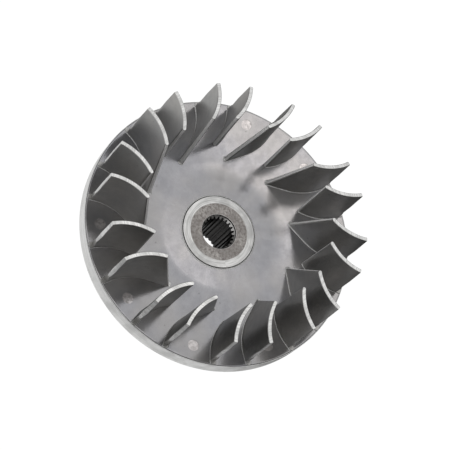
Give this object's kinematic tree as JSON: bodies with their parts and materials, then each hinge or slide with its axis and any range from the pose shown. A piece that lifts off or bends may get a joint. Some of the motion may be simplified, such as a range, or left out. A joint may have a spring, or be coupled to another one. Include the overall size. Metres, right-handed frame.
{
  "type": "fan drive face",
  "caption": "Round cast disc with a ring of swept fan blades in front, a conical belt face behind and a splined steel hub through its middle.",
  "frame": {"origin": "centre of the hub's rear seat, which is also the middle of the underside", "axes": "+Z along the crankshaft towards the fan blades, so the belt face looks down; +X through the tip of the first long blade"},
  "size_m": [0.1508, 0.1508, 0.0694],
  "materials": {
    "cast_aluminium": "as cast and dull on the front, turned on the rim, boss and belt face",
    "blade_aluminium": "as cast on the walls, bright turned edges along the top and outer end",
    "hub_steel": "faced end, darker and slightly mottled, broached spline"
  },
  "bodies": {
    "root": {"fan_plate": "cast_aluminium", "splined_hub": "hub_steel", "long_blade_01": "blade_aluminium", "short_blade_01": "blade_aluminium", "long_blade_02": "blade_aluminium", "short_blade_02": "blade_aluminium", "long_blade_03": "blade_aluminium", "short_blade_03": "blade_aluminium", "long_blade_04": "blade_aluminium", "short_blade_04": "blade_aluminium", "long_blade_05": "blade_aluminium", "short_blade_05": "blade_aluminium", "long_blade_06": "blade_aluminium", "short_blade_06": "blade_aluminium", "long_blade_07": "blade_aluminium", "short_blade_07": "blade_aluminium", "long_blade_08": "blade_aluminium", "short_blade_08": "blade_aluminium", "long_blade_09": "blade_aluminium", "short_blade_09": "blade_aluminium", "long_blade_10": "blade_aluminium", "short_blade_10": "blade_aluminium"}
  },
  "joints": []
}
